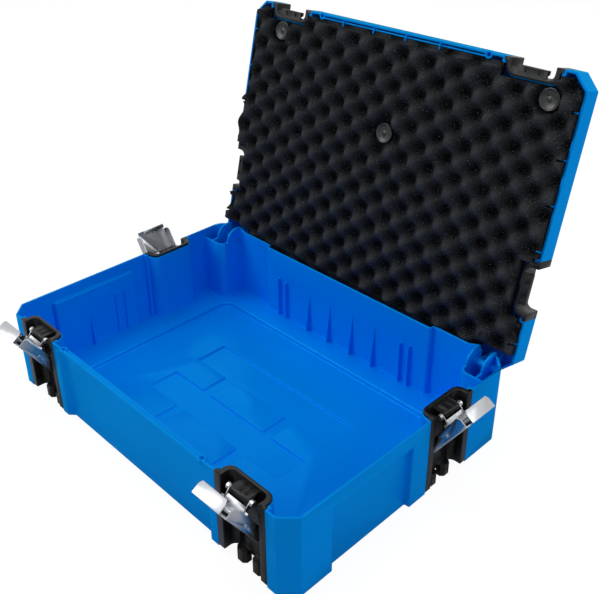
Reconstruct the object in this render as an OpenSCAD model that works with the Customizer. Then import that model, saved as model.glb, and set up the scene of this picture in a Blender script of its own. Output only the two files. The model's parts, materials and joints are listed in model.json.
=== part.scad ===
// Hard tool case: a moulded base and a hinged lid with egg-crate foam, shut by four
// steel draw latches in black carriers. Drawn with the lid and the latches open.
// X runs along the hinge line, Y from front to back and Z up. The origin is the middle
// of the nesting foot that the case stands on.

/* [Case] */
// Width of the case, along the hinge line
case_w = 480; // [470:1:520]
// Depth of the case, front to back
case_d = 330; // [326:1:350]
// Height of the base, from the ground to its rim
base_h = 105; // [104:1:115]
// Height of the lid alone
lid_h = 24; // [24:1:30]
// Width of the cut at each upright corner
corner_cut = 16; // [14:1:18]
// Thickness of the moulded walls
wall_t = 2.6; // [2.4:0.1:2.8]
// How far the nesting foot stands below the walls
foot_h = 8; // [7:1:9]

/* [Recessed panels] */
// Depth of the flat panels in the walls
panel_in = 6; // [5:0.5:6.5]
// Half the width of the front panel
front_panel_half = 131; // [125:1:134]
// Half the width of the set-back part of the rear wall
rear_panel_half = 138; // [120:1:150]

/* [Latches] */
// Distance of each front latch from the middle of the front wall
front_latch_x = 176.5; // [174:0.5:180]
// Distance of each side latch behind the middle of its wall
side_latch_y = 63.5; // [60:0.5:66]
// Share of the latch swing that is open, from 0 closed to 1 open
latch_open = 1; // [0:0.05:1]
// Length of the steel lever
lever_len = 70; // [70:0.5:70.5]
// Outside width of the steel lever
lever_w = 46; // [44:0.5:47]

/* [Lid] */
// Opening angle of the lid
lid_open = 103.2; // [0:0.1:103.2]
// Gap between the rims when the lid is shut
rim_gap = 0.3; // [0.2:0.1:0.5]

/* [Foam] */
// Distance between two peaks along a row of the foam
foam_pitch_x = 37.7; // [37:0.1:39]
// Distance between two peaks down a column of the foam
foam_pitch_y = 37.5; // [36.5:0.1:38]
// How far the foam's rows are turned from the hinge line
foam_row_turn = 2.3; // [0:0.1:2.5]
// How far the foam's columns lean
foam_column_turn = 5.4; // [0:0.1:5.5]
// How far the peaks hang below the lid's rim
foam_hang = 14; // [10:0.5:14]

/* [Hidden] */
$fn = 48;
half_w = case_w / 2;
half_d = case_d / 2;
lid_z = base_h + rim_gap;
lid_top = lid_z + lid_h;

// latch recess in the wall, measured from the middle of the recess
recess_half = 30;
recess_in = 17;
recess_corner = 9;
flange_half = 34.4;
flange_in = 4.6;
channel_half = 25.5;
channel_in = 14.4;
channel_corner = 7;
carrier_gap = 0.1;
cap_h = 3;
cap_over = 1;

// latch linkage: the axle, the link that hangs from it and the lever on the link
axle_in = 3;
axle_z = base_h - 8.5;
axle_r = 2;
axle_cap_r = 3.3;
link_len = 18.1;
link_swing = 50.6;
lever_swing = 32.8;
rivet_r = 1.5;
rivet_up = 30.9;
web_out = 5.6;
steel_t = 1.2;
flange_deep = 12;
knuckle_half = 12.5;
knuckle_r = 3.8;

// hinge
hinge_y = half_d - 7;
hinge_z = base_h - 13;
pin_r = 2;
pillar_x = half_w - 40;
pillar_y = half_d - 37;
pillar_top = base_h - 11;
ear_r = 18.5;
outer_ear_r = 15.5;
knuckle_clear = 0.4;
bay_x0 = pillar_x + 4.6;
bay_x1 = pillar_x + 20.4;
boss_r = 4.8;

// nesting foot and the floor relief
foot_x = half_w - 47.4;
foot_y = half_d - 37.4;
foot_corner = 16;
field_x = 114;
field_rear = 56;
field_front = 97;
tile_half = 47;
tile_side = 61;
tile_rows = [[-22.5, 12.5], [-110, -62]];
relief_h = 2.6;

// lid roof
roof_in = foot_h + 0.3;
pocket_x = 84;
pocket_y0 = -34;
pocket_y1 = 62;
pocket_in = 10;
pocket_floor_t = 2.4;
handle_axis_y = -24;
handle_t = 8.8;
handle_z = lid_top - roof_in - 5;
handle_pin_r = 1.5;

// foam
foam_x = half_w - wall_t - 0.6;
foam_y = half_d - 12;
foam_corner = 6;
foam_low_edge = 13;
foam_hinge_r = 15.4;
foam_over_pillar = base_h - 9.5;
tab_spots = [-127, -79, -31, 19, 125];
foam_back = lid_top - roof_in - wall_t - 0.1;
foam_split = lid_top - roof_in - pocket_in - pocket_floor_t - 0.2;
foam_peak = lid_z - foam_hang;
foam_valley = foam_split - 2;
button_spots = [[-186, -133], [203, -133], [7, -48]];
button_names = ["front_left", "front_right", "middle"];
button_r = 11.8;
button_face = lid_z - 1.5;

blue = "#0a63d6";
black = "#1b1c1f";
steel = "#c4c6cc";
dark_foam = "#141516";

SIDES = ["front_left", "front_right", "left", "right"];

// ---- outlines: lists of [x, y, corner radius], walked anticlockwise ----

function flat(v) = [v[0], v[1]];
function unit(v) = v / norm(v);
function turned(v, a) = [v[0] * cos(a) - v[1] * sin(a), v[0] * sin(a) + v[1] * cos(a)];
function left_of(e) = [-e[1], e[0]];
function crossing(a, b) = a[0] * b[1] - a[1] * b[0];

// one corner of an outline as the points of its arc
function corner_arc(a, p, b) =
    let(e1 = unit(flat(p) - flat(a)), e2 = unit(flat(b) - flat(p)))
    let(turn = atan2(crossing(e1, e2), e1 * e2), r = p[2])
    r < 0.05 || abs(turn) < 1 ? [flat(p)] :
    let(back = r * tan(abs(turn) / 2), side = left_of(e1) * sign(turn) * r)
    let(middle = flat(p) - e1 * back + side, steps = max(1, ceil(abs(turn) / 18)))
    [for (i = [0 : steps]) middle + turned(-side, turn * i / steps)];

function rounded(c) =
    let(n = len(c))
    [for (i = [0 : n - 1]) each corner_arc(c[(i + n - 1) % n], c[i], c[(i + 1) % n])];

// the outline moved inwards by t, with its corner radii changed to suit
function inset(c, t) =
    let(n = len(c))
    [for (i = [0 : n - 1])
        let(p = flat(c[i]), e1 = unit(p - flat(c[(i + n - 1) % n])), e2 = unit(flat(c[(i + 1) % n]) - p))
        let(n1 = left_of(e1), n2 = left_of(e2), q = p + (n1 + n2) * t / (1 + n1 * n2))
        let(bend = crossing(e1, e2), r = c[i][2])
        [q[0], q[1], r == 0 ? 0 : (bend > 0 ? max(r - t, 0) : r + t)]];

// runs along one wall, as [distance along the wall, depth into the case, radius]
function latch_run(c) = [
    [c - flange_half, 0, 0], [c - flange_half, flange_in, 0],
    [c - recess_half, flange_in, 0], [c - recess_half, recess_in, recess_corner],
    [c + recess_half, recess_in, recess_corner], [c + recess_half, flange_in, 0],
    [c + flange_half, flange_in, 0], [c + flange_half, 0, 0]];
function panel_run(a, b, ramp, deep) = deep == 0 ? [] :
    [[a, 0, 1.5], [a + ramp, deep, 1.5], [b - ramp, deep, 1.5], [b, 0, 1.5]];
function wall_ends(half, run) =
    concat([[-half + corner_cut, 0, 2]], run, [[half - corner_cut, 0, 2]]);

function front_run(deep) = wall_ends(half_w, concat(
    latch_run(-front_latch_x),
    panel_run(-front_panel_half, front_panel_half, 6.5, deep),
    latch_run(front_latch_x)));
function right_run(deep) = wall_ends(half_d, concat(
    panel_run(-half_d + 56, 3, 0.4, deep), latch_run(side_latch_y)));
function rear_run() = wall_ends(half_w, panel_run(-rear_panel_half, rear_panel_half, 1, panel_in));
function left_run(deep) = wall_ends(half_d, concat(
    latch_run(-side_latch_y), panel_run(-3, half_d - 56, 0.4, deep)));

// the whole wall line, with or without its front and side panels
function wall_line(front_deep, side_deep) = concat(
    [for (p = front_run(front_deep)) [p[0], -half_d + p[1], p[2]]],
    [for (p = right_run(side_deep)) [half_w - p[1], p[0], p[2]]],
    [for (p = rear_run()) [-p[0], half_d - p[1], p[2]]],
    [for (p = left_run(side_deep)) [-half_w + p[1], -p[0], p[2]]]);

line_low = wall_line(panel_in, panel_in);
line_mid = wall_line(panel_in, 0);
line_rim = wall_line(0, 0);

function box_line(x, y, r) = [[-x, -y, r], [x, -y, r], [x, y, r], [-x, y, r]];

module layer(z0, z1) {
    translate([0, 0, z0]) linear_extrude(z1 - z0) children();
}

module wall_band(outer, inner, z0, z1) {
    layer(z0, z1) difference() {
        polygon(rounded(outer));
        polygon(rounded(inset(inner, wall_t)));
    }
}

// a profile drawn in Y and Z, carried along X from x0 to x1
module along_x(x0, x1) {
    translate([x0, 0, 0]) rotate([90, 0, 90]) linear_extrude(x1 - x0) children();
}

module rod_x(x0, x1, r) {
    translate([x0, 0, 0]) rotate([0, 90, 0]) cylinder(r = r, h = x1 - x0);
}

module both_sides() {
    children();
    mirror([1, 0, 0]) children();
}

// ---- places ----

// a latch's own frame: X along the wall, Y into the case, from the wall's outer face
module at_latch(side) {
    if (side == "front_left") translate([-front_latch_x, -half_d, 0]) children();
    if (side == "front_right") translate([front_latch_x, -half_d, 0]) children();
    if (side == "right") translate([half_w, side_latch_y, 0]) rotate([0, 0, 90]) children();
    if (side == "left") translate([-half_w, side_latch_y, 0]) rotate([0, 0, -90]) children();
}

module opened_lid() {
    translate([0, hinge_y, hinge_z]) rotate([-lid_open, 0, 0]) translate([0, -hinge_y, -hinge_z]) children();
}

// the link's frame hangs from the axle, the lever's frame sits on the rivet
module at_link() {
    translate([0, axle_in, axle_z]) rotate([-link_swing * latch_open, 0, 0]) children();
}

module at_lever() {
    a = link_swing * latch_open;
    translate([0, axle_in - link_len * sin(a), axle_z - link_len * cos(a)])
        rotate([lever_swing * latch_open, 0, 0]) children();
}

// ---- base ----

module pillar_plan(grow) {
    x = pillar_x + grow;
    y = pillar_y + grow;
    polygon(rounded([
        [x, y, 10 - grow], [half_w - 1, y, 0], [half_w - 1, half_d - 1, 0], [x, half_d - 1, 0]]));
}

module ear_profile(r) {
    intersection() {
        translate([hinge_y, hinge_z]) circle(r = r);
        translate([hinge_y - 40, pillar_top - 6]) square([40 + half_d - hinge_y, 60]);
    }
}

module hinge_pocket_walls() {
    intersection() {
        layer(foot_h, pillar_top) difference() {
            pillar_plan(0);
            pillar_plan(wall_t);
        }
        layer(foot_h, base_h) polygon(rounded(line_low));
    }
    along_x(pillar_x, pillar_x + wall_t) ear_profile(ear_r);
    along_x(bay_x1, bay_x1 + wall_t) {
        ear_profile(ear_r);
        translate([pillar_y + 1, foot_h]) square([half_d - pillar_y - 2, pillar_top - foot_h]);
    }
    translate([0, hinge_y, hinge_z]) rod_x(pillar_x, bay_x0, boss_r + 1);
    intersection() {
        translate([0, hinge_y, hinge_z]) rod_x(bay_x1, half_w - 1, boss_r);
        layer(foot_h, base_h) polygon(rounded(line_rim));
    }
    // the rear rim climbs to the inner ear
    translate([0, half_d, 0]) rotate([90, 0, 0]) linear_extrude(wall_t)
        polygon([[pillar_x - 12, base_h - 1], [pillar_x - 12, base_h], [pillar_x, base_h + 4.2],
            [pillar_x + wall_t, base_h + 4.2], [pillar_x + wall_t, base_h - 1]]);
    // low crest on the outer corner
    intersection() {
        layer(base_h - 1, base_h + 6) difference() {
            polygon(rounded(line_rim));
            polygon(rounded(inset(line_rim, wall_t)));
        }
        along_x(bay_x1 + wall_t, half_w + 1) ear_profile(outer_ear_r);
    }
}

module hinge_pocket_cuts() {
    // way out for the lid's knuckle through the rear wall
    translate([bay_x0, hinge_y + 3, hinge_z - 12]) cube([bay_x1 - bay_x0, 20, 60]);
    translate([0, hinge_y, hinge_z]) rod_x(pillar_x - 1, half_w - 14.9, pin_r + 0.02);
}

// a straight rib or a tapered fin standing on the rear wall, looking forwards
module rear_rib(x, top, thick, out) {
    y = half_d - panel_in - wall_t;
    translate([x - thick / 2, y - out, foot_h + 1]) cube([thick, out + 1, top - foot_h - 1]);
}

module rear_fin(x, top, out) {
    y = half_d - panel_in - wall_t;
    along_x(x - 0.7, x + 0.7) polygon([
        [y + 1, foot_h + 1], [y - out, foot_h + 1], [y - out, foot_h + wall_t], [y, top], [y + 1, top]]);
}

module side_ribs() {
    x = half_w - panel_in - wall_t;
    for (y = [-27, -13.5]) translate([-x - 1, y - 1, foot_h + 1]) cube([3.2, 2, 61]);
    translate([0, -65.3, 0]) rotate([90, 0, 0]) linear_extrude(1.4) polygon([
        [-x - 1, foot_h + 1], [-x + 5, foot_h + 1], [-x + 5, foot_h + wall_t], [-x, 60], [-x - 1, 60]]);
}

module foot_and_floor() {
    foot = box_line(foot_x, foot_y, foot_corner);
    layer(foot_h, foot_h + wall_t) difference() {
        polygon(rounded(line_low));
        polygon(rounded(inset(foot, wall_t)));
    }
    layer(0, foot_h + 1) difference() {
        polygon(rounded(foot));
        polygon(rounded(inset(foot, wall_t)));
    }
    layer(0, wall_t + relief_h) polygon(rounded(foot));
}

// the lowered field of the floor, with the two rows of tiles left standing in it; a larger
// grow widens the lowered part on all sides
module floor_field(grow) {
    x = field_x + grow;
    past = field_x + 10;
    tiles = [[-past, -tile_side], [-tile_half, tile_half], [tile_side, past]];
    difference() {
        translate([-x, -field_front - grow]) square([2 * x, field_front + field_rear + 2 * grow]);
        for (row = tile_rows) for (tile = tiles) translate([tile[0] + grow, row[0] + grow])
            square([tile[1] - tile[0] - 2 * grow, row[1] - row[0] - 2 * grow]);
    }
}

// the floor is as thick under the tiles and the border as it is in the field
module floor_cuts() {
    layer(wall_t, wall_t + relief_h + 1) floor_field(0);
    layer(-1, relief_h) difference() {
        polygon(rounded(inset(box_line(foot_x, foot_y, foot_corner), 6)));
        floor_field(wall_t + 0.4);
    }
}

module padlock_eye() {
    for (x = [-122, 122]) translate([x, -half_d + 3, 0]) children();
}

module base_shell() {
    color(blue) difference() {
        union() {
            wall_band(line_low, line_low, foot_h, base_h - 17);
            wall_band(line_mid, line_low, base_h - 17, base_h - 17 + wall_t);
            wall_band(line_mid, line_mid, base_h - 17 + wall_t, base_h - 6);
            wall_band(line_rim, line_mid, base_h - 6, base_h - 6 + wall_t);
            wall_band(line_rim, line_rim, base_h - 6 + wall_t, base_h);
            foot_and_floor();
            both_sides() {
                hinge_pocket_walls();
                side_ribs();
                rear_rib(99, 66, 2, 4.5);
                rear_rib(112.5, 68, 2, 4.5);
                rear_fin(19.5, 67, 6.5);
                rear_fin(56.5, 67, 6.5);
            }
            padlock_eye() translate([0, 0, base_h - 6]) cylinder(r = 4.6, h = 6);
        }
        both_sides() hinge_pocket_cuts();
        floor_cuts();
        padlock_eye() translate([0, 0, base_h - 7]) cylinder(r = 2.1, h = 8);
        // the carriers' caps sit on the recess walls
        for (side = SIDES) at_latch(side) layer(base_h - cap_h, base_h + 1) cap_room();
    }
}

module hinge_pin() {
    color(steel) translate([0, hinge_y, hinge_z]) rod_x(pillar_x - 1, half_w - 15, pin_r);
}

// ---- latch carriers and the parts that swing on them ----

// hat-shaped section of a carrier or a catch, open towards the outside
module carrier_plan(over) {
    g = carrier_gap;
    x = recess_half - g + over;
    y = recess_in - g + over;
    r = recess_corner;
    polygon(rounded([
        [-flange_half + g, 0, 0], [-channel_half, 0, 1], [-channel_half, channel_in, channel_corner],
        [channel_half, channel_in, channel_corner], [channel_half, 0, 1], [flange_half - g, 0, 0],
        [flange_half - g, flange_in - g, 0], [x, flange_in - g, 0], [x, y, r], [-x, y, r],
        [-x, flange_in - g, 0], [-flange_half + g, flange_in - g, 0]]));
}

// what a cap takes away from the rim of a recess
module cap_room() {
    x = recess_half + wall_t;
    y = recess_in + wall_t + 0.2;
    polygon([
        [-flange_half, -1], [flange_half, -1], [flange_half, flange_in], [x, flange_in], [x, y],
        [-x, y], [-x, flange_in], [-flange_half, flange_in]]);
}

module latch_carrier() {
    lug_half = 7.2;
    lug_x = 11;
    color(black) difference() {
        union() {
            layer(foot_h + 2, base_h - cap_h) carrier_plan(0);
            layer(base_h - cap_h, base_h) carrier_plan(cap_over);
            along_x(-knuckle_half, knuckle_half) {
                translate([axle_in, axle_z]) circle(r = knuckle_r);
                polygon([[axle_in, axle_z - knuckle_r], [channel_in + 1, axle_z - 7],
                    [channel_in + 1, axle_z + knuckle_r], [axle_in, axle_z + knuckle_r]]);
            }
            for (x = [-12.1, -4, 4, 12.1]) along_x(x - 0.4, x + 0.4)
                translate([axle_in, axle_z]) square([channel_in + 1 - axle_in, knuckle_r + 0.8]);
            // lugs that drop into the catches of a case below
            for (x = [-lug_x, lug_x]) translate([x, 0, 0]) layer(0.5, foot_h + 7) polygon([
                [-lug_half, channel_in + 1], [-lug_half, channel_in - 4.5], [-lug_half + 3.6, channel_in - 8],
                [lug_half - 3.6, channel_in - 8], [lug_half, channel_in - 4.5], [lug_half, channel_in + 1]]);
        }
        translate([0, axle_in, axle_z]) rod_x(-20, 20, axle_r + 0.02);
    }
}

module latch_axle() {
    color(steel) translate([0, axle_in, axle_z]) {
        rod_x(-knuckle_half - 2, knuckle_half + 2, axle_r);
        rod_x(knuckle_half + 1.8, knuckle_half + 5, axle_cap_r);
        rod_x(-knuckle_half - 5, -knuckle_half - 1.8, axle_cap_r);
    }
}

module latch_link() {
    ear_x = knuckle_half + 0.3;
    ear_t = 1.2;
    color(steel) at_link() difference() {
        union() {
            for (x = [ear_x, -ear_x - ear_t]) along_x(x, x + ear_t) {
                circle(r = 3);
                polygon([[-2.9, -1], [2.9, -1], [1.4, -10], [-1.4, -10]]);
            }
            along_x(-ear_x - ear_t, ear_x + ear_t) translate([-0.75, -11]) square([1.5, 5.4]);
            along_x(-18, 18) translate([-0.75, -link_len]) square([1.5, link_len - 9]);
            translate([0, 0, -link_len]) rod_x(-18, 18, 2.6);
        }
        rod_x(-20, 20, axle_r + 0.08);
        translate([0, 0, -link_len]) rod_x(-20, 20, rivet_r + 0.06);
    }
}

// the lever's frame sits on the rivet: -Z to the finger end, +Z to the hook, +Y into the case
module latch_lever() {
    half = lever_w / 2;
    tip = lever_len - rivet_up;
    hook_half = half - 4.6;
    hook_in = 8.2;
    lip_half = hook_half - 2.4;
    shoulder = 32.5;
    color(steel) at_lever() difference() {
        union() {
            translate([0, steel_t - web_out, 0]) rotate([90, 0, 0]) linear_extrude(steel_t) polygon([
                [-half, -rivet_up], [half, -rivet_up], [half, shoulder], [hook_half, shoulder + 2],
                [hook_half, tip], [-hook_half, tip], [-hook_half, shoulder + 2], [-half, shoulder]]);
            // hook plate square to the web, narrowing to its turned-down lip
            layer(tip - steel_t, tip) polygon([
                [-hook_half, -web_out], [hook_half, -web_out], [hook_half, hook_in - 4],
                [lip_half, hook_in], [-lip_half, hook_in], [-hook_half, hook_in - 4]]);
            translate([-lip_half, hook_in - steel_t, tip - 5.4]) cube([2 * lip_half, steel_t, 5]);
            for (x = [-half, half - steel_t]) along_x(x, x + steel_t) polygon([
                [-web_out, -rivet_up], [2, -rivet_up], [flange_deep - web_out, -rivet_up + 5],
                [flange_deep - web_out + 1, shoulder - 3], [flange_deep - web_out - 2, shoulder],
                [-web_out, shoulder]]);
        }
        rod_x(-half - 1, half + 1, rivet_r);
    }
}

module lever_rivet() {
    half = lever_w / 2;
    color(steel) at_lever() {
        rod_x(-half - 0.8, half + 0.8, rivet_r);
        for (x = [half, -half - 0.8]) rod_x(x, x + 0.8, 2.2);
    }
}

// ---- lid, drawn shut and then swung open ----

module lid_catch() {
    keeper_half = 17.5;
    keeper_top = lid_z + 6;
    color(black) difference() {
        union() {
            layer(lid_z, lid_top) carrier_plan(0);
            layer(lid_z, lid_z + cap_h) carrier_plan(cap_over);
            // keeper ridge that the hook pulls down on, with a trough behind it
            along_x(-keeper_half, keeper_half) polygon([
                [5.4, lid_z + 0.4], [channel_in + 1, lid_z + 0.4], [channel_in + 1, keeper_top - 3.6],
                [11, keeper_top - 3.6], [9.6, keeper_top], [5.4, keeper_top]]);
            for (x = [-13, 0, 13]) along_x(x - 0.8, x + 0.8)
                polygon([[channel_in + 1, keeper_top - 4.6], [9.8, keeper_top - 4.6], [12.6, keeper_top - 2],
                    [13.8, keeper_top + 4], [13.8, lid_top - 1], [channel_in + 1, lid_top - 1]]);
        }
        // moulded-in pockets in the keeper's underside
        for (x = [-6.5, 9.5]) translate([x - 2.1, 6.7, lid_z - 1]) cube([4.2, 5.2, 2.7]);
    }
}

module lid_knuckle() {
    x0 = bay_x0 + knuckle_clear;
    x1 = bay_x1 - knuckle_clear;
    translate([0, hinge_y, hinge_z]) rod_x(x0, x1, boss_r);
    for (x = [x0, x1 - 2.4]) along_x(x, x + 2.4) {
        translate([hinge_y - boss_r, hinge_z]) square([2 * boss_r, 22]);
        polygon([[hinge_y - boss_r, hinge_z + 18], [half_d - 1, hinge_z + 20],
            [half_d - 1, lid_top - 1], [hinge_y - 12, lid_top - 1]]);
    }
}

module lid_shell() {
    inner = inset(line_rim, wall_t);
    roof = lid_top - roof_in;
    recess = box_line(foot_x + 0.6, foot_y + 0.6, foot_corner);
    pocket_y = (pocket_y0 + pocket_y1) / 2;
    pocket_half = (pocket_y1 - pocket_y0) / 2;
    color(blue) opened_lid() difference() {
        union() {
            difference() {
                layer(lid_z, lid_top) polygon(rounded(line_rim));
                layer(lid_z - 1, lid_top - wall_t) polygon(rounded(inner));
                lid_hinge_relief();
            }
            // roof tray that takes the foot of a case on top
            layer(roof - wall_t, lid_top) polygon(rounded(inset(recess, -wall_t)));
            layer(roof - pocket_in - pocket_floor_t, roof) translate([0, pocket_y])
                polygon(rounded(box_line(pocket_x + wall_t, pocket_half + wall_t, 8)));
            // double front rim
            translate([-124, -half_d + 4.2, lid_z]) cube([248, 1.8, 10]);
            lid_tabs();
            both_sides() lid_knuckle();
            padlock_eye() translate([0, 0, lid_z]) cylinder(r = 4.6, h = 6);
        }
        layer(roof, lid_top + 1) polygon(rounded(recess));
        layer(roof - pocket_in, roof + 1) translate([0, pocket_y])
            polygon(rounded(box_line(pocket_x, pocket_half, 6)));
        both_sides() translate([0, hinge_y, hinge_z]) rod_x(bay_x0 - 1, bay_x1 + 1, pin_r + 0.08);
        padlock_eye() translate([0, 0, lid_z - 1]) cylinder(r = 2.1, h = 8);
        for (side = SIDES) at_latch(side) layer(lid_z - 1, lid_z + cap_h) cap_room();
    }
    color(blue) opened_lid() both_sides() handle_brackets();
}

// room for the base's ears and for the rear wall's path past the rim
module lid_hinge_relief() {
    both_sides() {
        translate([0, hinge_y, hinge_z]) {
            rod_x(pillar_x - 14, bay_x1 + wall_t + 0.6, ear_r + 0.5);
            rod_x(bay_x1 + wall_t + 0.5, half_w + 1, outer_ear_r + 0.5);
        }
        translate([rear_panel_half - 1.5, hinge_y - 3, lid_z - 1])
            cube([pillar_x - 12 - rear_panel_half, 23, 3]);
    }
}

// small tabs behind the rim that hold the foam's edge and drop inside the base's rim
module lid_tab(deep) {
    rotate([90, 0, 0]) translate([0, 0, -0.9]) linear_extrude(1.8) polygon([
        [-deep, lid_z - 2.5], [-2.9, lid_z - 2.5], [-2.9, lid_z + 0.6], [-2, lid_z + 0.6],
        [-2, lid_z + 8], [-deep, lid_z + 8]]);
}

module lid_tabs() {
    both_sides() for (y = tab_spots) translate([half_w, y, 0]) lid_tab(8);
    for (x = [-84, -36, 12, 60]) translate([x, -half_d, 0]) rotate([0, 0, -90]) lid_tab(10);
}

module handle_brackets() {
    for (x = [57.8, 72.4]) difference() {
        along_x(x, x + 3.8) {
            translate([handle_axis_y, handle_z]) circle(r = 4.6);
            translate([handle_axis_y - 4.6, handle_z - 5.4]) square([9.2, 5.4]);
        }
        translate([0, handle_axis_y, handle_z]) rod_x(x - 1, x + 5, handle_pin_r);
    }
}

module carry_handle() {
    arm_x0 = 62;
    arm_x1 = 72;
    grip_y0 = 20;
    grip_y1 = 40;
    color(black) opened_lid() difference() {
        union() {
            layer(handle_z - handle_t / 2, handle_z + handle_t / 2) polygon(rounded([
                [-arm_x1, handle_axis_y, 0], [-arm_x0, handle_axis_y, 0], [-arm_x0, grip_y0, 8],
                [arm_x0, grip_y0, 8], [arm_x0, handle_axis_y, 0], [arm_x1, handle_axis_y, 0],
                [arm_x1, grip_y1, 14], [-arm_x1, grip_y1, 14]]));
            both_sides() translate([0, handle_axis_y, handle_z]) rod_x(arm_x0, arm_x1, handle_t / 2);
        }
        both_sides() translate([0, handle_axis_y, handle_z])
            rod_x(arm_x0 - 1, arm_x1 + 1, handle_pin_r + 0.08);
    }
}

module handle_pin() {
    color(steel) opened_lid() translate([0, handle_axis_y, handle_z]) rod_x(57.8, 76.2, handle_pin_r);
}

// ---- foam ----

// the foam face is two crossed cosine waves, so peaks and hollows alternate like an egg
// tray; the sheet lies a little askew in the lid, so its rows and columns are turned
foam_peak_x = -17.2;
foam_peak_y = 7.4;
row_step = foam_pitch_x * [cos(foam_row_turn), sin(foam_row_turn)];
column_step = foam_pitch_y * [-sin(foam_column_turn), cos(foam_column_turn)];
button_seat = 16;
function near_button(p) = min([for (b = button_spots) norm(p - b)]) < button_seat;
// along the front half of the left edge the sheet is pressed in behind the rim
function pressed(p) = p[0] < foam_low_edge - foam_x && p[1] < -40;
function foam_spot(i, j) = [foam_peak_x, foam_peak_y] + (row_step * i + column_step * j) / 2;
function foam_point(i, j) =
    let(p = foam_spot(i, j), wave = cos(180 * i) * cos(180 * j))
    let(seat = near_button(p) || pressed(p) || p[1] > foam_y - 3)
    [p[0], p[1], seat ? foam_valley : (foam_valley + foam_peak) / 2 + wave * (foam_peak - foam_valley) / 2];

// the grid has its points on the peaks and hollows, and one more inside each cell
module foam_waves() {
    i0 = -13;
    j0 = -10;
    nx = 28;
    ny = 20;
    corners = [for (j = [0 : ny - 1]) for (i = [0 : nx - 1]) foam_point(i0 + i, j0 + j)];
    middles = [for (j = [0 : ny - 2]) for (i = [0 : nx - 2]) foam_point(i0 + i + 0.5, j0 + j + 0.5)];
    rim = concat([for (i = [0 : nx - 1]) i], [for (j = [1 : ny - 1]) j * nx + nx - 1],
        [for (i = [nx - 2 : -1 : 0]) (ny - 1) * nx + i], [for (j = [ny - 2 : -1 : 1]) j * nx]);
    back = concat([for (k = rim) [corners[k][0], corners[k][1], foam_split]], [[0, 0, foam_split]]);
    m0 = len(corners);
    b0 = m0 + len(middles);
    n = len(rim);
    polyhedron(concat(corners, middles, back), concat(
        [for (j = [0 : ny - 2]) for (i = [0 : nx - 2])
            let(a = j * nx + i, b = a + 1, c = a + nx + 1, d = a + nx, m = m0 + j * (nx - 1) + i)
            each [[a, b, m], [b, c, m], [c, d, m], [d, a, m]]],
        [for (k = [0 : n - 1]) [b0 + n, b0 + (k + 1) % n, b0 + k]],
        [for (k = [0 : n - 1]) let(a = rim[k], b = rim[(k + 1) % n], p = b0 + k, q = b0 + (k + 1) % n)
            each [[a, p, q], [a, q, b]]]));
}

// the foam's outline follows the lid's, with the corners cut to match
module foam_sheet(margin) {
    x = foam_x - margin;
    y = foam_y - margin;
    c = foam_corner;
    polygon([[c - x, -y], [x - c, -y], [x, c - y], [x, y], [-x, y], [-x, c - y]]);
}

module foam_plan() {
    recess_x = recess_half + wall_t + 0.4;
    flange_x = flange_half + wall_t + 0.4;
    difference() {
        foam_sheet(0);
        for (side = SIDES) at_latch(side) {
            translate([-recess_x, -5]) square([2 * recess_x, recess_in + wall_t + 5.4]);
            translate([-flange_x, -5]) square([2 * flange_x, flange_in + wall_t + 5.4]);
        }
        both_sides() {
            translate([pillar_x - 3, hinge_y - ear_r - 1.5]) square(60);
            for (y = tab_spots) translate([half_w - 8.5, y - 1.4]) square([8.5, 2.8]);
        }
    }
}

module lid_foam() {
    gap = wall_t + 0.4;
    color(dark_foam) opened_lid() difference() {
        union() {
            intersection() {
                foam_waves();
                layer(foam_peak - 5, foam_split + 5) foam_plan();
            }
            intersection() {
                layer(foam_split, foam_back) difference() {
                    foam_plan();
                    translate([-pocket_x - gap, pocket_y0 - gap])
                        square([2 * (pocket_x + gap), pocket_y1 - pocket_y0 + 2 * gap]);
                }
                layer(foam_split - 1, foam_back + 1) foam_sheet(4);
            }
        }
        // room for the rear wall's rim as the lid swings, and for the tops of the corner wells
        translate([0, hinge_y, hinge_z]) rod_x(-half_w, half_w, foam_hinge_r);
        both_sides() translate([0, hinge_y, hinge_z]) rod_x(pillar_x - 14, half_w, ear_r + 0.7);
        both_sides() translate([pillar_x - 3, pillar_y - 3, foam_peak - 5])
            cube([50, 40, foam_over_pillar - foam_peak + 5]);
    }
}

module foam_button(spot) {
    color(black) opened_lid() translate([spot[0], spot[1], 0]) {
        difference() {
            translate([0, 0, button_face]) cylinder(r = button_r, h = 2.6);
            translate([0, 0, button_face - 29.2]) sphere(r = 30, $fn = 96);
        }
        translate([0, 0, button_face + 1.2]) cylinder(r = 3, h = foam_back - button_face - 1.2);
    }
}

// ---- nodes ----

base_shell();
lid_shell();
lid_foam();
carry_handle();
mirror([1, 0, 0]) hinge_pin();  // hinge_pin_left
hinge_pin();  // hinge_pin_right
mirror([1, 0, 0]) handle_pin();  // handle_pin_left
handle_pin();  // handle_pin_right
for (side = SIDES) {
    at_latch(side) latch_carrier();
    at_latch(side) latch_axle();
    at_latch(side) latch_link();
    at_latch(side) latch_lever();
    at_latch(side) lever_rivet();
    opened_lid() at_latch(side) lid_catch();
}
for (i = [0 : len(button_names) - 1])
    foam_button(button_spots[i]);
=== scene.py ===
import json
import math
import bmesh
import bpy
import numpy as np
from mathutils import Matrix, Vector


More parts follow.
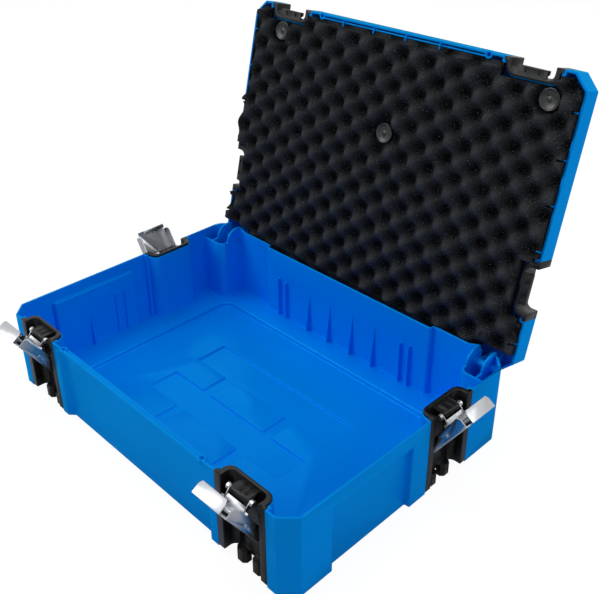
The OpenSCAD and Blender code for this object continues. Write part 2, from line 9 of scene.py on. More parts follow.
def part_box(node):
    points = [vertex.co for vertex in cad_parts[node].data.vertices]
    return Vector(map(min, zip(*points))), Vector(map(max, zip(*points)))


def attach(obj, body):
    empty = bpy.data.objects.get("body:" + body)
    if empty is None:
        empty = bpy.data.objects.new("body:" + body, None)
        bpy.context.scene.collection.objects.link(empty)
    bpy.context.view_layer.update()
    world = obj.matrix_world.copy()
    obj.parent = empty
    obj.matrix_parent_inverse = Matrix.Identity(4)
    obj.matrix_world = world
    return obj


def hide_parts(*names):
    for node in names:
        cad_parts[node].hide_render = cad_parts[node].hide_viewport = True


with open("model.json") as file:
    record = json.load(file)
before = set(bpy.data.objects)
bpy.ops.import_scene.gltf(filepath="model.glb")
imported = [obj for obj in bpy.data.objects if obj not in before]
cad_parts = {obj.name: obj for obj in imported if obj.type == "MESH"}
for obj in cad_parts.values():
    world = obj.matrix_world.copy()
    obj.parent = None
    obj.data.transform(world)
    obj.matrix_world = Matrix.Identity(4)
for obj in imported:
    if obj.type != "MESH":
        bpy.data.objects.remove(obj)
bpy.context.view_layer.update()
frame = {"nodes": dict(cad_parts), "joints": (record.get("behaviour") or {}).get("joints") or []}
mm = 0.001  # sizes below are in millimetres, places in metres

latchSides = ["front_left", "front_right", "left", "right"]
lidHinge = next(j for j in frame["joints"] if j["name"] == "lid_hinge")
hingePlace = np.array(lidHinge["pos_m"])
lidOpening = math.radians(lidHinge["range_deg"][1])


# the photograph's viewing angle: place in metres, angles in degrees, lens in mm
view = dict(
    place=(0.6112, -0.5097, 0.6465), azimuth=45.38, elevation=29.13, roll=-0.16,
    lens=50.69, shiftX=-0.0090, shiftY=-0.0660,
    sensor=36.0, nearest=0.01, farthest=30.0)


def makeCamera():
    data = bpy.data.cameras.new("camera")
    data.sensor_width = view["sensor"]
    data.lens = view["lens"]
    data.shift_x = view["shiftX"]
    data.shift_y = view["shiftY"]
    data.clip_start = view["nearest"]
    data.clip_end = view["farthest"]
    camera = bpy.data.objects.new("camera", data)
    turn = Matrix.Rotation(math.radians(view["azimuth"]), 4, "Z")
    tilt = Matrix.Rotation(math.radians(90 - view["elevation"]), 4, "X")
    roll = Matrix.Rotation(math.radians(view["roll"]), 4, "Z")
    camera.matrix_world = Matrix.Translation(view["place"]) @ turn @ tilt @ roll
    bpy.context.collection.objects.link(camera)
    bpy.context.scene.camera = camera


def linear(colour):
    # sRGB hex to linear light: small values fall off in a straight line, the rest by a power of 2.4
    parts = [int(colour[i:i + 2], 16) / 255 for i in (1, 3, 5)]
    return [c / 12.92 if c <= 0.04045 else ((c + 0.055) / 1.055) ** 2.4 for c in parts] + [1.0]


def addNode(tree, kind, values=None, links=None, **settings):
    node = tree.nodes.new(kind)
    for name, value in settings.items():
        setattr(node, name, value)
    for socket, value in (values or {}).items():
        node.inputs[socket].default_value = value
    for socket, source in (links or {}).items():
        tree.links.new(source, node.inputs[socket])
    return node


def newMaterial(name, colour):
    material = bpy.data.materials.new(name)
    material.use_nodes = True
    material.diffuse_color = linear(colour)
    tree = material.node_tree
    tree.nodes.clear()
    shader = addNode(tree, "ShaderNodeBsdfPrincipled", {"Base Color": linear(colour)})
    addNode(tree, "ShaderNodeOutputMaterial", links={"Surface": shader.outputs[0]})
    return material, tree, shader


def showInstead(tree, mixed):
    # the mixed shader takes the plain one's place at the material's output
    output = next(n for n in tree.nodes if n.type == "OUTPUT_MATERIAL")
    tree.links.new(mixed.outputs[0], output.inputs["Surface"])


# soft studio light: a dim white world and three large lamps
studio = dict(
    white="#ffffff", worldStrength=0.24, backdropStrength=1.0,
    lampAim=(0, 0, 0.1),
    lamps=[  # place, size in metres, watts
        ((-1.3, -1.4, 1.5), 1.3, 15),
        ((1.7, 0.9, 1.3), 1.2, 11),
        ((-0.5, 0.2, 2.2), 1.3, 12)])


def makeWorld():
    world = bpy.data.worlds.new("studio")
    world.use_nodes = True
    tree = world.node_tree
    tree.nodes.clear()
    path = addNode(tree, "ShaderNodeLightPath")
    white = linear(studio["white"])
    light = addNode(tree, "ShaderNodeBackground", {"Color": white, "Strength": studio["worldStrength"]})
    backdrop = addNode(tree, "ShaderNodeBackground",
                       {"Color": white, "Strength": studio["backdropStrength"]})
    # the camera, mirrors and clear parts see plain white; everything else gets the soft light
    direct = addNode(tree, "ShaderNodeMath", operation="MAXIMUM",
                     links={0: path.outputs["Is Camera Ray"], 1: path.outputs["Is Glossy Ray"]})
    seen = addNode(tree, "ShaderNodeMath", operation="MAXIMUM",
                   links={0: direct.outputs[0], 1: path.outputs["Is Transmission Ray"]})
    mix = addNode(tree, "ShaderNodeMixShader", links={
        0: seen.outputs[0], 1: light.outputs[0], 2: backdrop.outputs[0]})
    addNode(tree, "ShaderNodeOutputWorld", links={"Surface": mix.outputs[0]})
    bpy.context.scene.world = world


def makeLamps():
    for place, size, watts in studio["lamps"]:
        data = bpy.data.lights.new("softbox", "AREA")
        data.size = size
        data.energy = watts
        lamp = bpy.data.objects.new("softbox", data)
        lamp.location = place
        aim = Vector(studio["lampAim"]) - Vector(place)
        lamp.rotation_euler = aim.to_track_quat("-Z", "Y").to_euler()
        bpy.context.collection.objects.link(lamp)


# pale paper floor: nearly white to the camera by its own glow, and still dark under the case
paperFloor = dict(size=14.0, colour="#f4f4f4", roughness=0.9, shine=0.1, glowShare=0.8, glow=1.16)


def makeFloor():
    half = paperFloor["size"] / 2
    corners = [(-half, -half, 0), (half, -half, 0), (half, half, 0), (-half, half, 0)]
    mesh = bpy.data.meshes.new("floor")
    mesh.from_pydata(corners, [], [(0, 1, 2, 3)])
    floor = bpy.data.objects.new("floor", mesh)
    bpy.context.collection.objects.link(floor)
    material, tree, shader = newMaterial("palePaper", paperFloor["colour"])
    shader.inputs["Roughness"].default_value = paperFloor["roughness"]
    shader.inputs["Specular IOR Level"].default_value = paperFloor["shine"]
    path = addNode(tree, "ShaderNodeLightPath")
    seen = addNode(tree, "ShaderNodeMath", {1: paperFloor["glowShare"]},
                   {0: path.outputs["Is Camera Ray"]}, operation="MULTIPLY")
    glow = addNode(tree, "ShaderNodeEmission",
                   {"Color": linear(studio["white"]), "Strength": paperFloor["glow"]})
    showInstead(tree, addNode(tree, "ShaderNodeMixShader", links={
        0: seen.outputs[0], 1: shader.outputs[0], 2: glow.outputs[0]}))
    mesh.materials.append(material)


bpy.context.scene.view_settings.view_transform = "Standard"
makeCamera()
makeWorld()
makeLamps()
makeFloor()
print("camera, lights and floor are set")


noiseSpan = (0.3, 0.7)  # nearly all values of a noise pattern lie between these
firstColour, secondColour = 6, 7  # the two colour sockets of a Mix node, by place
mixedColour = 2  # and its colour output


def noiseOnPiece(tree, sizeMm, detail, roughness=0.5, stretch=(1, 1, 1)):
    # noise whose blobs are about sizeMm across, on the piece's own place in metres
    place = addNode(tree, "ShaderNodeTexCoord")
    scaled = addNode(tree, "ShaderNodeMapping", {"Scale": stretch}, {"Vector": place.outputs["Object"]})
    return addNode(tree, "ShaderNodeTexNoise",
                   {"Scale": 1 / (sizeMm * mm), "Detail": detail, "Roughness": roughness},
                   {"Vector": scaled.outputs[0]})


def cloudFinish(tree, finish, shader, gloss):
    # one cloudy pattern moves the roughness of gloss over the finish's range and, where the finish
    # has a second tone, carries the colour of shader toward it
    pattern = noiseOnPiece(tree, finish["cloudMm"], finish["cloudDetail"], finish.get("cloudFine", 0.5))
    low, high = finish["roughness"]
    rough = addNode(tree, "ShaderNodeMapRange",
                    {"From Min": noiseSpan[0], "From Max": noiseSpan[1], "To Min": low, "To Max": high},
                    {"Value": pattern.outputs[0]})
    tree.links.new(rough.outputs[0], gloss.inputs["Roughness"])
    if "secondTone" in finish:
        low, high = finish["toneSpan"]
        share = addNode(tree, "ShaderNodeMapRange", {"From Min": low, "From Max": high},
                        {"Value": pattern.outputs[0]})
        tint = addNode(tree, "ShaderNodeMix",
                       {firstColour: linear(finish["colour"]), secondColour: linear(finish["secondTone"])},
                       {0: share.outputs[0]}, data_type="RGBA")
        tree.links.new(tint.outputs[mixedColour], shader.inputs["Base Color"])


# injection-moulded polypropylene: clear deep blue, its gloss tinted by the plastic
bluePlastic = dict(
    colour="#0094fc", secondTone="#008ef6", toneSpan=(0.3, 0.7), sheen="#30d8ff",
    roughness=(0.15, 0.20), ior=1.49, cloudMm=120, cloudDetail=1)


def makeBluePlastic():
    material, tree, shader = newMaterial("blueMouldedPolypropylene", bluePlastic["colour"])
    shader.inputs["Specular IOR Level"].default_value = 0.0  # the tinted gloss stands in for it
    gloss = addNode(tree, "ShaderNodeBsdfGlossy", {"Color": linear(bluePlastic["sheen"])})
    cloudFinish(tree, bluePlastic, shader, gloss)
    mirror = addNode(tree, "ShaderNodeFresnel", {"IOR": bluePlastic["ior"]})
    showInstead(tree, addNode(tree, "ShaderNodeMixShader", links={
        0: mirror.outputs[0], 1: shader.outputs[0], 2: gloss.outputs[0]}))
    return material


# glass-filled nylon: near black, with a moulded grain that breaks up its sheen and is drawn
# coarser than real, to show
blackNylon = dict(
    colour="#0f1012", secondTone="#1a1b1e", toneSpan=(0.4, 0.75), roughness=(0.24, 0.44),
    ior=1.53, shine=0.26, cloudMm=14, cloudDetail=4, cloudFine=0.6,
    grainMm=0.9, grainDetail=2, grainDepth=0.03, grainStrength=0.5)


def makeBlackNylon():
    material, tree, shader = newMaterial("blackMouldedNylon", blackNylon["colour"])
    shader.inputs["IOR"].default_value = blackNylon["ior"]
    shader.inputs["Specular IOR Level"].default_value = blackNylon["shine"]
    cloudFinish(tree, blackNylon, shader, shader)
    grain = noiseOnPiece(tree, blackNylon["grainMm"], blackNylon["grainDetail"])
    bump = addNode(tree, "ShaderNodeBump",
                   {"Strength": blackNylon["grainStrength"], "Distance": blackNylon["grainDepth"] * mm},
                   {"Height": grain.outputs[0]})
    tree.links.new(bump.outputs[0], shader.inputs["Normal"])
    return material


# zinc-plated sheet steel: bright, slightly clouded, with rolling marks along the sheet
zincSteel = dict(
    colour="#bdc0c3", secondTone="#a9acb0", toneSpan=(0.35, 0.7), roughness=(0.23, 0.35),
    cloudMm=16, cloudDetail=3,
    lineMm=0.8, lineDetail=2, lineStretch=(1, 1, 0.08), lineDepth=0.02, lineStrength=0.2)


def makeZincSteel():
    material, tree, shader = newMaterial("zincPlatedSteel", zincSteel["colour"])
    shader.inputs["Metallic"].default_value = 1.0
    cloudFinish(tree, zincSteel, shader, shader)
    lines = noiseOnPiece(tree, zincSteel["lineMm"], zincSteel["lineDetail"], stretch=zincSteel["lineStretch"])
    bump = addNode(tree, "ShaderNodeBump",
                   {"Strength": zincSteel["lineStrength"], "Distance": zincSteel["lineDepth"] * mm},
                   {"Height": lines.outputs[0]})
    tree.links.new(bump.outputs[0], shader.inputs["Normal"])
    return material


# turned pin steel: duller than the sheet parts
pinSteel = dict(colour="#c0c3c7", roughness=(0.25, 0.42), cloudMm=1.5, cloudDetail=3)


def makePinSteel():
    material, tree, shader = newMaterial("turnedPinSteel", pinSteel["colour"])
    shader.inputs["Metallic"].default_value = 1.0
    cloudFinish(tree, pinSteel, shader, shader)
    return material


# open-cell polyurethane foam: matt black, darker down in its hollows by painted shade, with pale
# flecks as painted glints, and with cells drawn coarser than real so that they show
foamSponge = dict(
    # hollow is painted shade: the colour at the bottom of the hollows
    colour="#424548", hollow="#0a0b0c", fleck="#8b8f93",
    cellMm=1.5, fineMm=0.9, fineDetail=3, fineRough=0.7, cellDepth=0.6, cellStrength=0.8,
    grainMm=1.4, grainDetail=2, grain=0.5,
    # these last values place the pale flecks, which are painted glints
    fleckMm=1.3, fleckDetail=1, fleckSpan=(0.68, 0.76), fleckShare=0.7)


def makeFoamSponge():
    material, tree, shader = newMaterial("openCellFoam", foamSponge["colour"])
    shader.inputs["Roughness"].default_value = 1.0
    shader.inputs["Specular IOR Level"].default_value = 0.0
    # painted shade: the deeper in a hollow, the darker, with a real grain that moves it both ways
    depth = addNode(tree, "ShaderNodeAttribute", attribute_name="depth")
    speckle = noiseOnPiece(tree, foamSponge["grainMm"], foamSponge["grainDetail"])
    grain = addNode(tree, "ShaderNodeMapRange",
                    {"From Min": noiseSpan[0], "From Max": noiseSpan[1],
                     "To Min": -foamSponge["grain"] / 2, "To Max": foamSponge["grain"] / 2},
                    {"Value": speckle.outputs[0]})
    shade = addNode(tree, "ShaderNodeMath", links={0: depth.outputs["Fac"], 1: grain.outputs[0]},
                    operation="ADD", use_clamp=True)
    # painted shade: the foam's colour goes toward the dark hollow colour as the depth grows
    tint = addNode(tree, "ShaderNodeMix",
                   {firstColour: linear(foamSponge["colour"]), secondColour: linear(foamSponge["hollow"])},
                   {0: shade.outputs[0]}, data_type="RGBA")
    # painted glints: only the noise's highest values become pale flecks
    sparkle = noiseOnPiece(tree, foamSponge["fleckMm"], foamSponge["fleckDetail"])
    low, high = foamSponge["fleckSpan"]
    glintMask = addNode(tree, "ShaderNodeMapRange",
                     {"From Min": low, "From Max": high, "To Max": foamSponge["fleckShare"]},
                     {"Value": sparkle.outputs[0]})
    glinted = addNode(tree, "ShaderNodeMix", {secondColour: linear(foamSponge["fleck"])},
                      {0: glintMask.outputs[0], firstColour: tint.outputs[mixedColour]}, data_type="RGBA")
    tree.links.new(glinted.outputs[mixedColour], shader.inputs["Base Color"])
    # open cells, each pitted unevenly
    place = addNode(tree, "ShaderNodeTexCoord")
    cells = addNode(tree, "ShaderNodeTexVoronoi", {"Scale": 1 / (foamSponge["cellMm"] * mm)},
                    {"Vector": place.outputs["Object"]})
    fine = noiseOnPiece(tree, foamSponge["fineMm"], foamSponge["fineDetail"], foamSponge["fineRough"])
    pits = addNode(tree, "ShaderNodeMath", links={0: cells.outputs["Distance"], 1: fine.outputs[0]},
                   operation="MULTIPLY")
    bump = addNode(tree, "ShaderNodeBump",
                   {"Strength": foamSponge["cellStrength"], "Distance": foamSponge["cellDepth"] * mm},
                   {"Height": pits.outputs[0]})
    tree.links.new(bump.outputs[0], shader.inputs["Normal"])
    return material


# smoke-grey moulded buttons: dark, smooth and shiny, with faint smears
buttonPlastic = dict(colour="#1e2022", roughness=(0.17, 0.32), ior=1.5, cloudMm=5, cloudDetail=3)


def makeButtonPlastic():
    material, tree, shader = newMaterial("smokedButtonPlastic", buttonPlastic["colour"])
    shader.inputs["IOR"].default_value = buttonPlastic["ior"]
    cloudFinish(tree, buttonPlastic, shader, shader)
    return material


blue = makeBluePlastic()
black = makeBlackNylon()
zinc = makeZincSteel()
pins = makePinSteel()
sponge = makeFoamSponge()
smoked = makeButtonPlastic()
print("materials are made")


# edge radii of the shells and fittings, and how their solids are merged: points closer than
# mergeGap, faces flatter than flatDegrees, and edges sharper than sharpDegrees are rounded
rounding = dict(
    base=0.5, lid=0.5, carrier=0.5, catch=0.4, lever=0.35, link=0.25, handle=2.2,
    mergeGap=0.002, flatDegrees=0.8, sharpDegrees=32, flatWeight=100)


def mergedSolid(nodeName, bentOutline):
    # the frame's loose triangles as one closed surface with whole flat faces
    shape = bmesh.new()
    shape.from_mesh(frame["nodes"][nodeName].data)
    gap = rounding["mergeGap"] * mm
    bmesh.ops.remove_doubles(shape, verts=shape.verts, dist=gap)
    bmesh.ops.dissolve_degenerate(shape, edges=shape.edges, dist=gap)
    bmesh.ops.dissolve_limit(shape, angle_limit=math.radians(rounding["flatDegrees"]),
                             verts=shape.verts, edges=shape.edges, use_dissolve_boundaries=False)
    if bentOutline:
        bmesh.ops.triangulate(shape, faces=[f for f in shape.faces if len(f.verts) > 4])
    return shape


def roundedCopy(nodeName, pieceName, body, material, radiusMm, segments=2,
                ownRadius=lambda a, b: None, bentOutline=False, wideFaces=False):
    # ownRadius gives another radius in mm for some edges, from their two ends in mm;
    # bentOutline is for a hat-shaped end face, which fills wrongly unless it is cut into triangles;
    # wideFaces keeps the shading of large flat faces even right up to the slopes beside them
    shape = mergedSolid(nodeName, bentOutline)
    weight = shape.edges.layers.float.new("bevel_weight_edge")
    radii = {}
    for edge in shape.edges:
        if len(edge.link_faces) == 2 and edge.calc_face_angle(0) > math.radians(rounding["sharpDegrees"]):
            radii[edge] = ownRadius(*[v.co / mm for v in edge.verts]) or radiusMm
    widest = max([radiusMm, *radii.values()])
    for edge, radius in radii.items():
        edge[weight] = radius / widest
    mesh = bpy.data.meshes.new(pieceName)
    shape.to_mesh(mesh)
    shape.free()
    mesh.materials.clear()
    mesh.materials.append(material)
    mesh.polygons.foreach_set("material_index", np.zeros(len(mesh.polygons), dtype=np.int32))
    mesh.shade_smooth()
    piece = bpy.data.objects.new(pieceName, mesh)
    bpy.context.collection.objects.link(piece)
    bevel = piece.modifiers.new("roundedEdges", "BEVEL")
    bevel.width = widest * mm
    bevel.segments = segments
    bevel.limit_method = "WEIGHT"
    bevel.use_clamp_overlap = False
    bevel.harden_normals = True
    if wideFaces:
        evenShading = piece.modifiers.new("evenShading", "WEIGHTED_NORMAL")
        evenShading.weight = rounding["flatWeight"]
        evenShading.keep_sharp = True
    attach(piece, body)
    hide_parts(nodeName)
    return piece


# the base's moulded fillets, in mm: the step down into the foot, the floor's relief, the rim and
# the hinge ears; level edges are known by their height, within slack
baseFillet = dict(
    stepTop=10.6, step=2.2, floorTop=5.2, floor=1.6, rimTop=105, rim=1.1,
    reliefTop=5.2, reliefFrom=2, reliefHalf=120, relief=1.0,
    footHalfWide=191, footHalfDeep=126,  # the foot's inside, from the case's middle
    level=0.01, slack=0.05,
    ears=0.2, earReach=24, earsFrom=190)


def nearHinge(a, b):
    # the ears and the lid's way round them are close, so their edges are hardly rounded
    y, z = hingePlace[1:] / mm
    return all(math.hypot(end.y - y, end.z - z) < baseFillet["earReach"]
               and abs(end.x) > baseFillet["earsFrom"] for end in (a, b))


def lidRadius(a, b):
    # None leaves an edge its usual radius, here and in the next function
    return baseFillet["ears"] if nearHinge(a, b) else None


def baseRadius(a, b):
    if nearHinge(a, b):
        return baseFillet["ears"]
    if abs(a.z - b.z) >= baseFillet["level"]:
        return None
    height, slack = a.z, baseFillet["slack"]
    wide, deep = max(abs(a.x), abs(b.x)), max(abs(a.y), abs(b.y))
    if wide < baseFillet["footHalfWide"] and deep < baseFillet["footHalfDeep"]:
        if abs(height - baseFillet["stepTop"]) < slack:
            return baseFillet["step"]
        inRelief = baseFillet["reliefFrom"] < height < baseFillet["reliefTop"] + slack
        if inRelief and wide < baseFillet["reliefHalf"]:
            return baseFillet["relief"]
        if abs(height - baseFillet["floorTop"]) < slack:
            return baseFillet["floor"]
    if abs(height - baseFillet["rimTop"]) < slack:
        return baseFillet["rim"]
    return None


blueBase = roundedCopy("base_shell", "blueBase", "base", blue, rounding["base"], ownRadius=baseRadius)
blueLid = roundedCopy("lid_shell", "blueLid", "lid", blue, rounding["lid"], ownRadius=lidRadius,
                      wideFaces=True)
carryHandle = roundedCopy("carry_handle", "carryHandle", "carry_handle", black, rounding["handle"], 3)

for side in latchSides:
    tag = side.title().replace("_", "")
    fittings = [
        ("latch_carrier_" + side, "carrier", "base", black, "black_moulding"),
        ("lid_catch_" + side, "catch", "lid", black, "black_moulding"),
        ("latch_lever_" + side, "lever", "latch_lever_" + side, zinc, "zinc_steel"),
        ("latch_link_" + side, "link", "latch_link_" + side, zinc, "zinc_steel")]
    for nodeName, kind, body, material, slotName in fittings:
        fitting = roundedCopy(nodeName, kind + tag, body, material, rounding[kind],
                              bentOutline=material is black)
print("shells and fittings are rounded")


# pins, axles and rivets keep the frame's own solids
for nodeName, node in frame["nodes"].items():
    if any(word in nodeName for word in ("pin", "axle", "rivet")):
        mesh = node.data
        mesh.materials.clear()
        mesh.materials.append(pins)
        mesh.polygons.foreach_set("material_index", np.zeros(len(mesh.polygons), dtype=np.int32))


def swung(points, angle):
    # turns points about the lid's hinge line, positive shutting the lid
    c, s = math.cos(angle), math.sin(angle)
    offset = points - hingePlace
    y = offset[:, 1] * c - offset[:, 2] * s
    z = offset[:, 1] * s + offset[:, 2] * c
    return np.column_stack([offset[:, 0], y, z]) + hingePlace


def shutBox(nodeName):
    # lowest and highest corner of a node on the lid, with the lid shut
    mesh = frame["nodes"][nodeName].data
    flat = np.empty(len(mesh.vertices) * 3)
    mesh.vertices.foreach_get("co", flat)
    points = swung(flat.reshape(-1, 3), lidOpening)
    return points.min(axis=0), points.max(axis=0)


# egg-tray foam in the lid, worked out in the shut lid's place and then swung open
foam = dict(
    rowPitch=37.7, columnPitch=37.5, rowTurn=2.3, columnTurn=5.4,  # the tray pattern lies a little askew
    peakAtX=-17.2, peakAtY=7.4,  # one of its peaks
    step=1.9,            # spacing of the surface grid
    solid=12.6,          # thickness behind the hollows, up to the lid's tray
    backBehind=1.8, thinnest=0.5,  # the hidden back sheet lies this far behind the hollows, or more
    broadPeaks=1.12,     # under 1 widens the peaks and narrows the hollows
    raggedMm=0.6, raggedBlobs=[(9.0, 1.0, 4), (4.0, 0.6, 9)],  # uneven cut: blob size, share, seed
    peakTrim=0.1,        # the tallest peaks end this far behind the solid's
    recessHalf=33.0, recessDeep=20.0, flangeHalf=37.4, flangeDeep=7.6,  # room for the lid's latch recesses
    tabHalf=1.4, tabDeep=8.5, tabsAt=[-127, -79, -31, 19, 125],  # room for the rim's side tabs
    frontTabDeep=10.4, frontTabsAt=[-84, -36, 12, 60],
    eyeHalf=5.2, eyeDeep=8.4, eyesAt=[-122, 122],
    frontReach=5.4, frontLevel=104.0,  # the soft front edge reaches past the solid, up to this level
    pillarRoomX=-2.0, pillarRoomY=20.0,  # cut away over the hinge wells, from pin's end and hinge line
    cornerCut=13.6,      # the slanted front corners
    pressedWide=13.0, pressedFrom=-30.0, pressedBlend=14.0,  # the left edge is pressed in behind the rim
    hingeRoom=15.4, earRoom=19.2, earInset=13.0,  # radii kept clear of the hinge line, and at its ears
    overPillar=95.5, pillarFront=33.0,  # lowest level over the pillars, and how far forward it holds
    buttonSeat=12.4, seatBlend=6.0,  # radius pressed flat by a button, and the slope round it
    sharpDegrees=65)


def recessCuts(nodeName):
    # room for a catch's recess: a deep middle part and the shallow flanges beside it
    a, b = shutBox(nodeName)
    along = 0 if b[0] - a[0] > b[1] - a[1] else 1
    inward = 1 - along
    cuts = []
    for half, deep in ((foam["recessHalf"], foam["recessDeep"]), (foam["flangeHalf"], foam["flangeDeep"])):
        first, last = a[:2].copy(), b[:2].copy()
        first[along] = (a[along] + b[along]) / 2 - half * mm
        last[along] = (a[along] + b[along]) / 2 + half * mm
        if a[inward] < 0:
            last[inward] = a[inward] + deep * mm
        else:
            first[inward] = b[inward] - deep * mm
        cuts.append((first, last))
    return cuts


def foamCuts(rear, wellX):
    # boxes cut out of the sheet, each as its first and last corner: the catches' recesses, the tabs
    # on both sides and in front, the padlock eyes, and the wells of the hinge pillars
    wallX, wallY = shutBox("lid_shell")[1][0], shutBox("lid_catch_front_left")[0][1]
    cuts = [cut for side in latchSides for cut in recessCuts("lid_catch_" + side)]
    tabDeep, tabHalf = foam["tabDeep"] * mm, foam["tabHalf"]
    for y in foam["tabsAt"]:
        for first, last in ((-wallX, tabDeep - wallX), (wallX - tabDeep, wallX)):
            cuts.append(((first, (y - tabHalf) * mm), (last, (y + tabHalf) * mm)))
    fromFront = [(x, tabHalf, foam["frontTabDeep"]) for x in foam["frontTabsAt"]]
    fromFront += [(x, foam["eyeHalf"], foam["eyeDeep"]) for x in foam["eyesAt"]]
    for x, half, deep in fromFront:
        cuts.append((((x - half) * mm, wallY), ((x + half) * mm, wallY + deep * mm)))
    for first, last in ((-wallX, -wellX), (wellX, wallX)):
        cuts.append(((first, hingePlace[1] - foam["pillarRoomY"] * mm), (last, rear)))
    return cuts


def gridLines(low, high, stops):
    # evenly spaced lines between neighbouring stops, so that every cut-out's edge has a line
    marks = sorted({low, high, *[s for s in stops if low < s < high]})
    lines = [np.linspace(a, b, max(2, round((b - a) / (foam["step"] * mm)) + 1))[:-1]
             for a, b in zip(marks[:-1], marks[1:])]
    return np.concatenate(lines + [[high]])


lattice = dict(size=64, fromX=31.7, fromY=17.3)  # of random heights, its corner well off the case


def easedStep(t):
    # rises from 0 to 1 as t does, level at both ends
    return t * t * (3 - 2 * t)


def smoothNoise(x, y, blob, seed):
    # value noise: random heights on a square lattice, blended with a smooth step between them
    n = lattice["size"]
    table = np.random.default_rng(seed).random((n, n)) * 2 - 1
    u, v = x / blob + lattice["fromX"], y / blob + lattice["fromY"]
    i, j = np.floor(u).astype(int), np.floor(v).astype(int)
    s, t = easedStep(u - i), easedStep(v - j)
    a, b = table[i % n, j % n], table[(i + 1) % n, j % n]
    c, d = table[i % n, (j + 1) % n], table[(i + 1) % n, (j + 1) % n]
    return (a * (1 - s) + b * s) * (1 - t) + (c * (1 - s) + d * s) * t


def trayWave(x, y, leftEdge):
    # 1 at a peak and -1 in a hollow: the product of two cosine waves, one along the turned rows and
    # one along the columns, pulled down to the hollows round the buttons and where it is pressed in
    rowTurn, columnTurn = math.radians(foam["rowTurn"]), math.radians(foam["columnTurn"])
    dx, dy = x / mm - foam["peakAtX"], y / mm - foam["peakAtY"]
    lean = math.cos(rowTurn - columnTurn)
    along = (dx * math.cos(columnTurn) + dy * math.sin(columnTurn)) / (foam["rowPitch"] * lean)
    down = (dy * math.cos(rowTurn) - dx * math.sin(rowTurn)) / (foam["columnPitch"] * lean)
    wave = (np.cos(2 * np.pi * along) * np.cos(2 * np.pi * down) + 1) / 2
    wave = wave ** foam["broadPeaks"] * 2 - 1
    pulls = []
    for nodeName in frame["nodes"]:
        if nodeName.startswith("foam_button"):
            a, b = shutBox(nodeName)
            away = np.hypot(x - (a[0] + b[0]) / 2, y - (a[1] + b[1]) / 2) / mm
            pulls.append(np.clip(1 - (away - foam["buttonSeat"]) / foam["seatBlend"], 0, 1))
    pressed = np.clip(1 - (x - leftEdge) / (foam["pressedWide"] * mm), 0, 1)
    pulls.append(pressed * np.clip((foam["pressedFrom"] - y / mm) / foam["pressedBlend"], 0, 1))
    for pull in map(easedStep, pulls):
        wave = wave * (1 - pull) - pull
    return wave


def clearOfBase(x, y, height, solidFront, wellX):
    # raises the sheet where it would meet the base when shut: a round trough along the hinge line,
    # wider at the ears, and level stretches over the pillars and over the front wall
    behind = (y - hingePlace[1]) ** 2
    ears = np.abs(x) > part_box("hinge_pin_right")[0][0] - foam["earInset"] * mm
    room = np.where(ears, foam["earRoom"], foam["hingeRoom"]) * mm
    trough = hingePlace[2] + np.sqrt(np.maximum(room ** 2 - behind, 0))
    height = np.where(behind < room ** 2, np.maximum(height, trough), height)
    wells = (np.abs(x) > wellX) & (y > hingePlace[1] - foam["pillarFront"] * mm)
    height = np.where(wells, np.maximum(height, foam["overPillar"] * mm), height)
    return np.where(y < solidFront, np.maximum(height, foam["frontLevel"] * mm), height)


def keptCells(x, y, low, high, cuts):
    # the cells of the grid that lie outside every cut and behind the slanted front corners
    middleX, middleY = (x[:-1, :-1] + x[1:, 1:]) / 2, (y[:-1, :-1] + y[1:, 1:]) / 2
    kept = np.ones(middleX.shape, dtype=bool)
    for first, last in cuts:
        kept &= ~((middleX > first[0]) & (middleX < last[0]) & (middleY > first[1]) & (middleY < last[1]))
    for fromSide in (middleX - low[0], high[0] - middleX):
        kept &= fromSide + (middleY - low[1]) > foam["cornerCut"] * mm
    return kept


def closedSheet(kept):
    # a face for each kept cell in front and behind, and a side wall on every edge that only one
    # front face uses; the back's points follow the front's
    rows, columns = kept.shape[0] + 1, kept.shape[1] + 1
    n = rows * columns
    index = np.arange(n).reshape(rows, columns)
    a, b, c, d = index[:-1, :-1][kept], index[:-1, 1:][kept], index[1:, 1:][kept], index[1:, :-1][kept]
    front = np.column_stack([a, d, c, b])
    back = np.column_stack([a + n, b + n, c + n, d + n])
    edges = np.column_stack([front.ravel(), np.roll(front, -1, axis=1).ravel()])
    ends = np.sort(edges, axis=1)
    code = ends[:, 0] * (2 * n) + ends[:, 1]
    values, counts = np.unique(code, return_counts=True)
    lone = edges[np.isin(code, values[counts == 1])]
    sides = np.column_stack([lone[:, 1], lone[:, 0], lone[:, 0] + n, lone[:, 1] + n])
    return np.concatenate([front, back, sides])


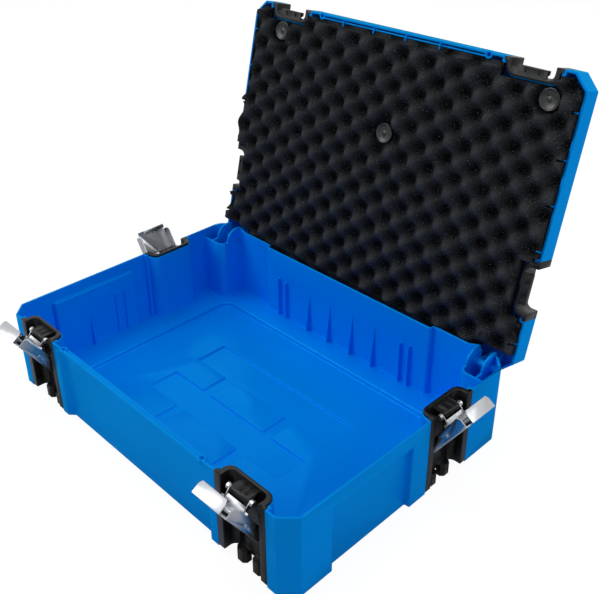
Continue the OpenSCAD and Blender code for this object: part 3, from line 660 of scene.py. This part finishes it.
def makeFoam():
    # a height over a grid: the tray's wave between the peak plane and the hollow plane, plus the
    # uneven cut, raised where the base needs room, with a plain back sheet behind it
    low, high = shutBox("lid_foam")
    solidFront = low[1]
    low[1] -= foam["frontReach"] * mm  # the soft edge is squeezed up to the front rim
    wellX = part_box("hinge_pin_right")[0][0] + foam["pillarRoomX"] * mm
    cuts = foamCuts(high[1], wellX)
    x, y = np.meshgrid(gridLines(low[0], high[0], [v for a, b in cuts for v in (a[0], b[0])]),
                       gridLines(low[1], high[1], [v for a, b in cuts for v in (a[1], b[1])]))

    peak, hollow = low[2], high[2] - foam["solid"] * mm
    ragged = sum(share * smoothNoise(x, y, blob * mm, seed) for blob, share, seed in foam["raggedBlobs"])
    height = (peak + hollow) / 2 + trayWave(x, y, low[0]) * (peak - hollow) / 2
    height = np.maximum(height + ragged * foam["raggedMm"] * mm, peak + foam["peakTrim"] * mm)
    # how deep each point lies in its hollow, 0 to 1, kept for the material's painted shade
    depth = np.clip((height - peak) / (hollow - peak), 0, 1)
    height = clearOfBase(x, y, height, solidFront, wellX)
    back = np.maximum(hollow + foam["backBehind"] * mm, height + foam["thinnest"] * mm)

    points = np.concatenate([np.column_stack([x.ravel(), y.ravel(), z.ravel()]) for z in (height, back)])
    used, faces = np.unique(closedSheet(keptCells(x, y, low, high, cuts)), return_inverse=True)
    mesh = bpy.data.meshes.new("eggTrayFoam")
    mesh.from_pydata(swung(points[used], -lidOpening).tolist(), [], faces.reshape(-1, 4).tolist())
    hollowShadeDepth = mesh.attributes.new("depth", "FLOAT", "POINT")
    depths = np.concatenate([depth.ravel(), np.ones(depth.size)])[used]
    hollowShadeDepth.data.foreach_set("value", depths.astype(np.float32))
    mesh.materials.append(sponge)
    mesh.shade_smooth()
    mesh.set_sharp_from_angle(angle=math.radians(foam["sharpDegrees"]))
    piece = bpy.data.objects.new("eggTrayFoam", mesh)
    bpy.context.collection.objects.link(piece)
    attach(piece, "lid")
    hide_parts("lid_foam")


makeFoam()
print("foam is cut")


# dished foam buttons: a raised lip, a shallow dish and a low nub in the middle
foamButton = dict(
    lip=1.1, lipDrop=0.6, dish=1.3, nub=2.2, nubUp=0.7, nubFoot=1.5, thick=2.6, edge=0.5, stem=3.0,
    pole=0.01, turns=72, sharpDegrees=60)


def makeButton(nodeName):
    # half of its section, as [distance from the middle, depth behind the face] in mm, turned about
    # the button's own middle line
    low, high = shutBox(nodeName)
    middle = (low + high) / 2
    r = (high[0] - low[0]) / 2 / mm
    lip, dish, nub, nubUp = (foamButton[name] for name in ("lip", "dish", "nub", "nubUp"))
    thick, edge, stem, pole = (foamButton[name] for name in ("thick", "edge", "stem", "pole"))
    stemEnd = (high[2] - low[2]) / mm
    section = np.array([
        [pole, dish - nubUp], [nub * 0.7, dish - nubUp * 0.8], [nub, dish],
        [nub + foamButton["nubFoot"], dish], [r - 2.6 * lip, dish * 0.8], [r - 1.7 * lip, dish * 0.35],
        [r - lip, 0.05], [r - lip * 0.6, 0], [r - lip * 0.2, 0.15], [r, foamButton["lipDrop"]],
        [r, thick - edge], [r - edge, thick], [stem, thick], [stem, stemEnd], [pole, stemEnd]])
    angles = np.linspace(0, 2 * np.pi, foamButton["turns"], endpoint=False)
    out, deep = section[:, 0:1] * mm, section[:, 1:2] * mm
    points = np.stack([middle[0] + out * np.cos(angles), middle[1] + out * np.sin(angles),
                       low[2] + deep * np.ones_like(angles)], axis=-1)
    index = np.arange(points.shape[0] * points.shape[1]).reshape(points.shape[:2])
    a, b = index[:-1], index[1:]
    walls = np.stack([a, b, np.roll(b, -1, axis=1), np.roll(a, -1, axis=1)], axis=-1).reshape(-1, 4)
    mesh = bpy.data.meshes.new(nodeName + "_dished")
    mesh.from_pydata(swung(points.reshape(-1, 3), -lidOpening).tolist(), [],
                     walls.tolist() + [index[0].tolist(), index[-1][::-1].tolist()])
    mesh.materials.append(smoked)
    mesh.shade_smooth()
    mesh.set_sharp_from_angle(angle=math.radians(foamButton["sharpDegrees"]))
    shape = bmesh.new()
    shape.from_mesh(mesh)
    bmesh.ops.recalc_face_normals(shape, faces=shape.faces)
    shape.to_mesh(mesh)
    shape.free()
    piece = bpy.data.objects.new(nodeName.title().replace("_", ""), mesh)
    bpy.context.collection.objects.link(piece)
    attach(piece, "lid")
    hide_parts(nodeName)


for nodeName in list(frame["nodes"]):
    if nodeName.startswith("foam_button"):
        makeButton(nodeName)
print("buttons are turned")
